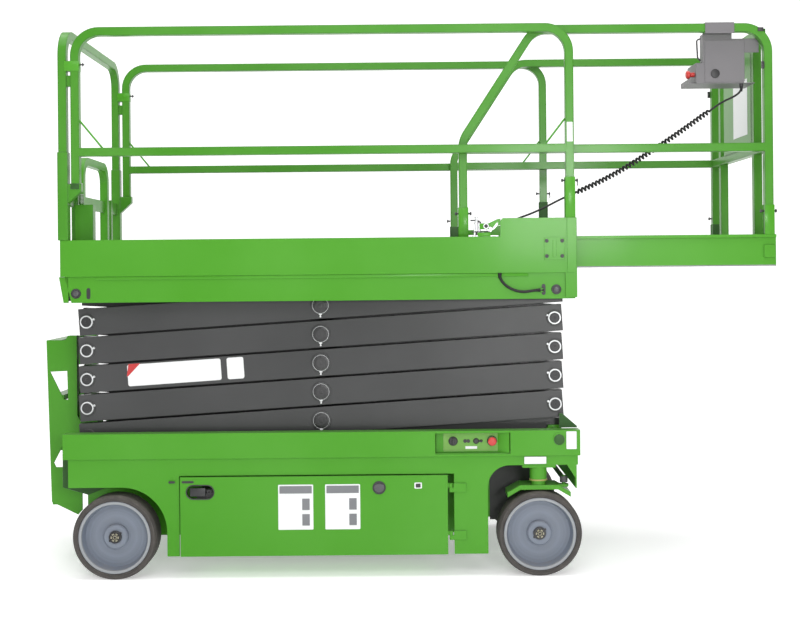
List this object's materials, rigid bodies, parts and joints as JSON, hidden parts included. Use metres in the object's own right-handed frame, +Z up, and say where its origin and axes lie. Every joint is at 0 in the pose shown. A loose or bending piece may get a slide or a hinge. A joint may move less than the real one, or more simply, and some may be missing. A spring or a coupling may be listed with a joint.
{
  "type": "self-propelled scissor lift",
  "caption": "Electric slab scissor lift: a low chassis on four solid tyres, a stack of crossed arms and a railed work platform with its extension deck rolled out.",
  "frame": {"origin": "on the floor, under the middle of the whole length and width", "axes": "+X towards the steered wheels and the extension deck, +Z up, -Y is the side with the ground controls"},
  "size_m": [3.415, 1.17, 2.5009],
  "materials": {
    "green_paint": "gloss",
    "charcoal_paint": "satin",
    "rim_paint": "satin",
    "tyre_rubber": "matte",
    "bare_steel": "satin",
    "cylinder_grey": "satin",
    "floor_plate": "satin",
    "box_grey": "satin",
    "panel_yellow": "satin",
    "black_plastic": "matte",
    "red_plastic": "gloss",
    "battery_case": "matte",
    "tank_plastic": "matte",
    "black_rubber": "matte"
  },
  "bodies": {
    "chassis": {"chassis_frame": "green_paint", "side_skirts": "green_paint", "ladder": "green_paint", "ground_panel": "panel_yellow", "ground_switches": "black_plastic", "ground_stop": "red_plastic", "steer_barrel": "cylinder_grey"},
    "near_tray": {"near_door": "green_paint", "battery_pack": "battery_case"},
    "far_tray": {"far_door": "green_paint", "hydraulic_unit": "tank_plastic"},
    "near_rear_wheel": {"near_rear_tyre": "tyre_rubber", "near_rear_rim": "rim_paint"},
    "far_rear_wheel": {"far_rear_tyre": "tyre_rubber", "far_rear_rim": "rim_paint"},
    "near_front_wheel": {"near_front_tyre": "tyre_rubber", "near_front_rim": "rim_paint"},
    "far_front_wheel": {"far_front_tyre": "tyre_rubber", "far_front_rim": "rim_paint"},
    "near_knuckle_body": {"near_knuckle": "charcoal_paint"},
    "far_knuckle_body": {"far_knuckle": "charcoal_paint"},
    "tie_rod_body": {"tie_rod": "charcoal_paint"},
    "steer_rod_body": {"steer_rod": "bare_steel"},
    "inner_stage_1": {"inner_arms_1": "charcoal_paint"},
    "outer_stage_1": {"outer_arms_1": "charcoal_paint"},
    "inner_stage_2": {"inner_arms_2": "charcoal_paint"},
    "outer_stage_2": {"outer_arms_2": "charcoal_paint"},
    "inner_stage_3": {"inner_arms_3": "charcoal_paint"},
    "outer_stage_3": {"outer_arms_3": "charcoal_paint"},
    "inner_stage_4": {"inner_arms_4": "charcoal_paint"},
    "outer_stage_4": {"outer_arms_4": "charcoal_paint"},
    "inner_stage_5": {"inner_arms_5": "charcoal_paint"},
    "outer_stage_5": {"outer_arms_5": "charcoal_paint"},
    "lower_slide_pair": {"lower_slides": "black_plastic"},
    "upper_slide_pair": {"upper_slides": "black_plastic"},
    "lower_cylinder_barrel": {"lower_lift_barrel": "cylinder_grey"},
    "lower_cylinder_rod": {"lower_lift_rod": "bare_steel"},
    "upper_cylinder_barrel": {"upper_lift_barrel": "cylinder_grey"},
    "upper_cylinder_rod": {"upper_lift_rod": "bare_steel"},
    "platform": {"deck_frame": "green_paint", "deck_floor": "floor_plate", "near_rail": "green_paint", "far_rail": "green_paint", "gate_frame": "green_paint", "extension_lock": "bare_steel", "deck_cable": "black_rubber"},
    "extension": {"extension_frame": "green_paint", "extension_floor": "floor_plate", "near_extension_rail": "green_paint", "far_extension_rail": "green_paint", "front_rail": "green_paint", "control_box": "box_grey", "box_controls": "black_plastic", "box_stop": "red_plastic", "cord_lead": "black_rubber", "cord_coil": "black_rubber", "cord_tail": "black_rubber"},
    "entry_gate": {"gate": "green_paint"}
  },
  "joints": [
    {"name": "near_tray_swing", "type": "hinge", "parent": "chassis", "child": "near_tray", "pos_m": [0.21, -0.567, 0.28], "axis": [0, 0, 1], "range_deg": [0, 100]},
    {"name": "far_tray_swing", "type": "hinge", "parent": "chassis", "child": "far_tray", "pos_m": [0.21, 0.567, 0.28], "axis": [0, 0, -1], "range_deg": [0, 100]},
    {"name": "near_rear_wheel_spin", "type": "hinge", "parent": "chassis", "child": "near_rear_wheel", "pos_m": [-1.3085, -0.5215, 0.19], "axis": [0, 1, 0], "continuous": true},
    {"name": "far_rear_wheel_spin", "type": "hinge", "parent": "chassis", "child": "far_rear_wheel", "pos_m": [-1.3085, 0.5215, 0.19], "axis": [0, 1, 0], "continuous": true},
    {"name": "steer", "type": "hinge", "parent": "chassis", "child": "near_knuckle_body", "pos_m": [0.6095, -0.5215, 0.45], "axis": [0, 0, 1], "range_deg": [-50, 50]},
    {"name": "far_steer", "type": "hinge", "parent": "chassis", "child": "far_knuckle_body", "pos_m": [0.6095, 0.5215, 0.45], "axis": [0, 0, 1], "range_deg": [-50.5, 50.5]},
    {"name": "tie_rod_turn", "type": "hinge", "parent": "near_knuckle_body", "child": "tie_rod_body", "pos_m": [0.7255, -0.5215, 0.428], "axis": [0, 0, 1], "range_deg": [-50.5, 50.5]},
    {"name": "near_front_wheel_spin", "type": "hinge", "parent": "near_knuckle_body", "child": "near_front_wheel", "pos_m": [0.6095, -0.5215, 0.19], "axis": [0, 1, 0], "continuous": true},
    {"name": "far_front_wheel_spin", "type": "hinge", "parent": "far_knuckle_body", "child": "far_front_wheel", "pos_m": [0.6095, 0.5215, 0.19], "axis": [0, 1, 0], "continuous": true},
    {"name": "steer_rod_slide", "type": "slide", "parent": "chassis", "child": "steer_rod_body", "axis": [0, 1, 0], "range_m": [-0.0909, 0.0909]},
    {"name": "lift", "type": "hinge", "parent": "chassis", "child": "inner_stage_1", "pos_m": [0.6965, 0, 0.631], "axis": [0, 1, 0], "range_deg": [0, 56]},
    {"name": "centre_pin_1", "type": "hinge", "parent": "inner_stage_1", "child": "outer_stage_1", "pos_m": [-0.37848, 0, 0.697], "axis": [0, 1, 0], "range_deg": [-112.5, 0]},
    {"name": "end_pin_1", "type": "hinge", "parent": "outer_stage_1", "child": "inner_stage_2", "pos_m": [0.6965, 0, 0.763], "axis": [0, 1, 0], "range_deg": [0, 112.5]},
    {"name": "centre_pin_2", "type": "hinge", "parent": "inner_stage_2", "child": "outer_stage_2", "pos_m": [-0.37848, 0, 0.829], "axis": [0, 1, 0], "range_deg": [-112.5, 0]},
    {"name": "end_pin_2", "type": "hinge", "parent": "outer_stage_2", "child": "inner_stage_3", "pos_m": [0.6965, 0, 0.895], "axis": [0, 1, 0], "range_deg": [0, 112.5]},
    {"name": "centre_pin_3", "type": "hinge", "parent": "inner_stage_3", "child": "outer_stage_3", "pos_m": [-0.37848, 0, 0.961], "axis": [0, 1, 0], "range_deg": [-112.5, 0]},
    {"name": "end_pin_3", "type": "hinge", "parent": "outer_stage_3", "child": "inner_stage_4", "pos_m": [0.6965, 0, 1.027], "axis": [0, 1, 0], "range_deg": [0, 112.5]},
    {"name": "centre_pin_4", "type": "hinge", "parent": "inner_stage_4", "child": "outer_stage_4", "pos_m": [-0.37848, 0, 1.093], "axis": [0, 1, 0], "range_deg": [-112.5, 0]},
    {"name": "end_pin_4", "type": "hinge", "parent": "outer_stage_4", "child": "inner_stage_5", "pos_m": [0.6965, 0, 1.159], "axis": [0, 1, 0], "range_deg": [0, 112.5]},
    {"name": "centre_pin_5", "type": "hinge", "parent": "inner_stage_5", "child": "outer_stage_5", "pos_m": [-0.37848, 0, 1.225], "axis": [0, 1, 0], "range_deg": [-112.5, 0]},
    {"name": "platform_pin", "type": "hinge", "parent": "outer_stage_5", "child": "platform", "pos_m": [0.6965, 0, 1.291], "axis": [0, 1, 0], "range_deg": [0, 56.5]},
    {"name": "lower_slide_pin", "type": "hinge", "parent": "outer_stage_1", "child": "lower_slide_pair", "pos_m": [-1.45345, 0, 0.631], "axis": [0, 1, 0], "range_deg": [0, 56.5]},
    {"name": "upper_slide_pin", "type": "hinge", "parent": "inner_stage_5", "child": "upper_slide_pair", "pos_m": [-1.45345, 0, 1.291], "axis": [0, 1, 0], "range_deg": [-56.5, 0]},
    {"name": "lower_barrel_swing", "type": "hinge", "parent": "inner_stage_1", "child": "lower_cylinder_barrel", "pos_m": [-0.73752, 0, 0.71904], "axis": [0, 1, 0], "range_deg": [-118.76, 0]},
    {"name": "lower_rod_slide", "type": "slide", "parent": "lower_cylinder_barrel", "child": "lower_cylinder_rod", "axis": [0.9963, 0, 0.0855], "range_m": [0, 0.2774]},
    {"name": "upper_barrel_swing", "type": "hinge", "parent": "inner_stage_3", "child": "upper_cylinder_barrel", "pos_m": [-0.73752, 0, 0.98304], "axis": [0, 1, 0], "range_deg": [-118.76, 0]},
    {"name": "upper_rod_slide", "type": "slide", "parent": "upper_cylinder_barrel", "child": "upper_cylinder_rod", "axis": [0.9963, 0, 0.0855], "range_m": [0, 0.2774]},
    {"name": "extension_slide", "type": "slide", "parent": "platform", "child": "extension", "axis": [1, 0, 0], "range_m": [-0.9, 0]},
    {"name": "gate_swing", "type": "hinge", "parent": "platform", "child": "entry_gate", "pos_m": [-1.5305, 0.292, 1.67], "axis": [0, 0, 1], "range_deg": [0, 90]}
  ],
  "couplings": [
    {"joint": "far_steer", "follows": "steer", "ratio": 1},
    {"joint": "tie_rod_turn", "follows": "steer", "ratio": -1},
    {"joint": "steer_rod_slide", "follows": "steer", "m_per_rad": 0.10183},
    {"joint": "centre_pin_1", "follows": "lift", "ratio": -2},
    {"joint": "end_pin_1", "follows": "lift", "ratio": 2},
    {"joint": "centre_pin_2", "follows": "lift", "ratio": -2},
    {"joint": "end_pin_2", "follows": "lift", "ratio": 2},
    {"joint": "centre_pin_3", "follows": "lift", "ratio": -2},
    {"joint": "end_pin_3", "follows": "lift", "ratio": 2},
    {"joint": "centre_pin_4", "follows": "lift", "ratio": -2},
    {"joint": "end_pin_4", "follows": "lift", "ratio": 2},
    {"joint": "centre_pin_5", "follows": "lift", "ratio": -2},
    {"joint": "platform_pin", "follows": "lift", "ratio": 1},
    {"joint": "lower_slide_pin", "follows": "lift", "ratio": 1},
    {"joint": "upper_slide_pin", "follows": "lift", "ratio": -1},
    {"joint": "lower_barrel_swing", "follows": "lift", "ratio": -2.1117},
    {"joint": "lower_rod_slide", "follows": "lift", "m_per_rad": 0.28072},
    {"joint": "upper_barrel_swing", "follows": "lift", "ratio": -2.1117},
    {"joint": "upper_rod_slide", "follows": "lift", "m_per_rad": 0.28072}
  ]
}
